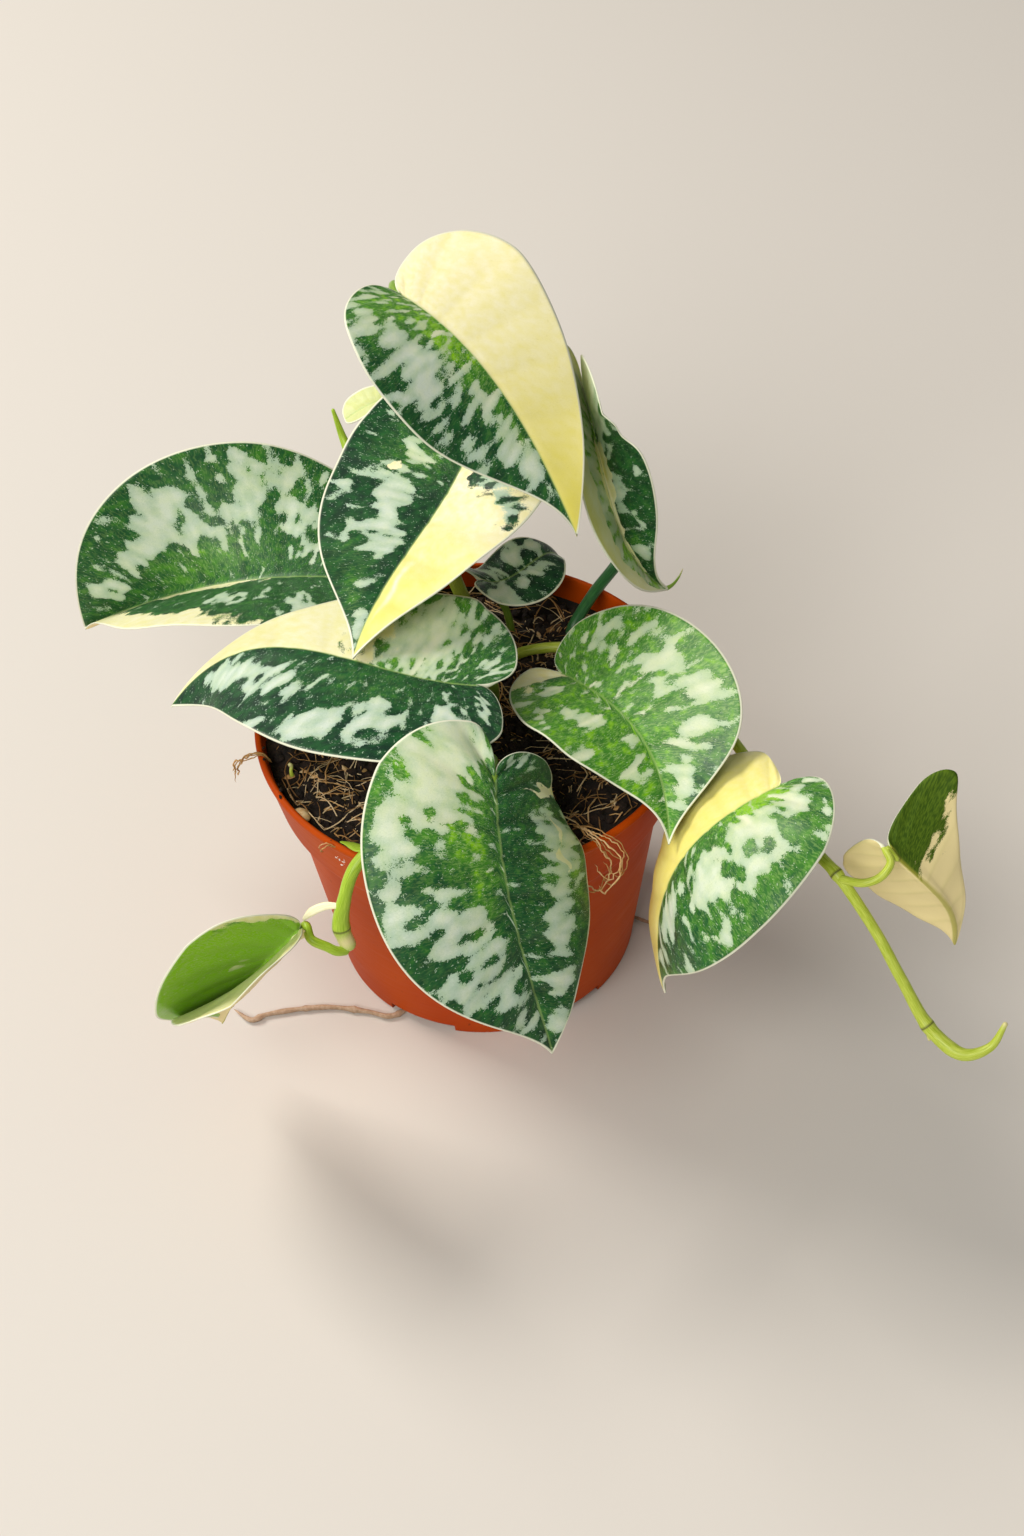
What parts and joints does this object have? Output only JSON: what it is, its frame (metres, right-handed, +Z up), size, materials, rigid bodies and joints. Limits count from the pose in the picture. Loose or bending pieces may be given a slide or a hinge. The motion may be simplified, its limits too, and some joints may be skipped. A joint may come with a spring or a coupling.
{
  "type": "potted scindapsus",
  "caption": "Trailing aroid house plant with silver and cream variegated heart-shaped leaves, rooted in the soil of a terracotta-coloured plastic nursery pot.",
  "frame": {"origin": "middle of the pot's underside, on the surface it stands on", "axes": "+Z up the pot's axis, -Y towards the side where the long front leaf hangs over the rim, +X towards the trailing vine"},
  "size_m": [0.2455, 0.2135, 0.1852],
  "materials": {
    "pot_plastic": "satin, moulded, terracotta colour",
    "soil": "rough, damp peat and coir",
    "leaf_green": "satin leaf, dark green with silver patches",
    "leaf_light_green": "satin leaf, light green with pale patches",
    "leaf_cream": "satin leaf, cream half and green half",
    "stem": "smooth, yellow-green",
    "sheath": "papery",
    "dry_root": "dry, rough"
  },
  "bodies": {
    "root": {"pot": "pot_plastic", "soil": "soil", "leaf_top": "leaf_cream", "leaf_crown": "leaf_green", "leaf_left": "leaf_green", "leaf_left_low": "leaf_green", "leaf_front": "leaf_green", "leaf_right": "leaf_light_green", "leaf_right_low": "leaf_light_green", "leaf_vine": "leaf_cream", "leaf_back_right": "leaf_green", "leaf_back": "leaf_green", "leaf_pale": "leaf_cream", "leaf_young": "leaf_light_green", "stem_crown": "stem", "stem_spear": "stem", "vine_right": "stem", "shoot_young": "stem", "sheath_rim": "sheath", "sheath_young": "sheath", "root_table": "dry_root", "root_right": "dry_root", "root_rim_left": "dry_root", "root_rim_right": "dry_root"}
  },
  "joints": []
}
